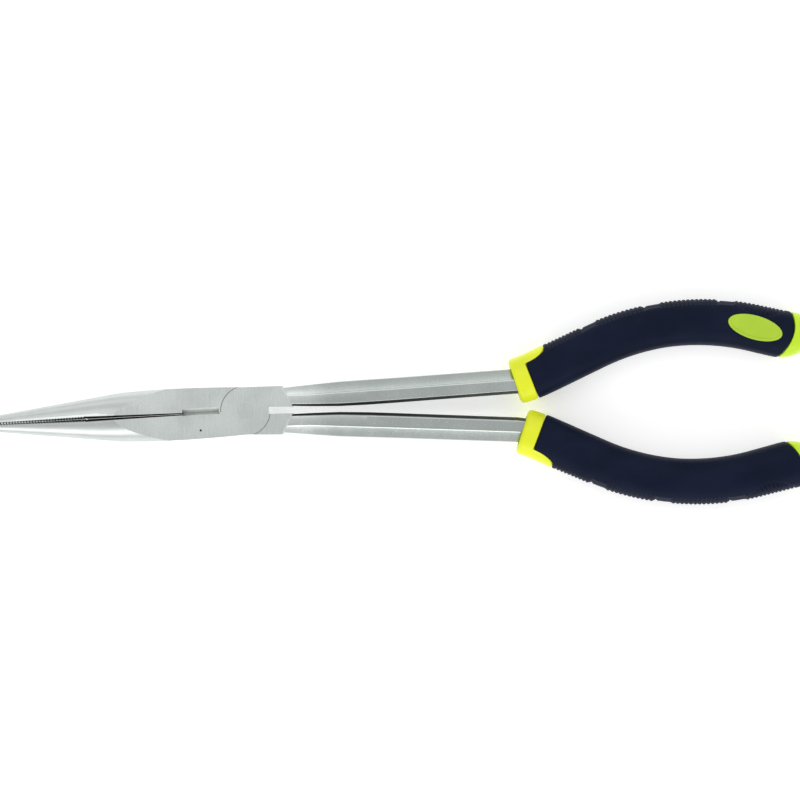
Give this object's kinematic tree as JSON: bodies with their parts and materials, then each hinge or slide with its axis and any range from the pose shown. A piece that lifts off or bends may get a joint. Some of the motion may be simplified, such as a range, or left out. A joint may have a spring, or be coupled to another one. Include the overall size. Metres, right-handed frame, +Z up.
{
  "type": "fishing pliers",
  "caption": "Long-reach needle-nose fishing pliers with serrated jaws, a side cutter, a riveted half-lap joint and curved navy grips with yellow ends.",
  "frame": {"origin": "middle of the footprint, at the surface that the grips lie on", "axes": "+X along the handles' mid line from the jaws towards the grips, +Y across the tool in the plane it opens in, +Z up along the rivet"},
  "size_m": [0.282, 0.0694, 0.015],
  "materials": {
    "steel": "satin ground steel",
    "rivet": "satin ground steel",
    "yellow": "semi-gloss yellow-green moulding",
    "liner": "matte moulding",
    "navy": "matte soft grip rubber",
    "badge": "semi-gloss moulding"
  },
  "bodies": {
    "front_lever": {"front_half": "steel", "pivot_rivet": "rivet", "upper_collar": "yellow", "upper_grip_liner": "liner", "upper_grip_sleeve": "navy", "upper_end_cap": "yellow", "upper_badge": "badge"},
    "back_lever": {"back_half": "steel", "lower_collar": "yellow", "lower_grip_liner": "liner", "lower_grip_sleeve": "navy", "lower_end_cap": "yellow"}
  },
  "joints": [
    {"name": "jaw_hinge", "type": "hinge", "parent": "front_lever", "child": "back_lever", "pos_m": [-0.0524, 0, 0.0075], "axis": [0, 0, -1], "range_deg": [0, 32]}
  ]
}
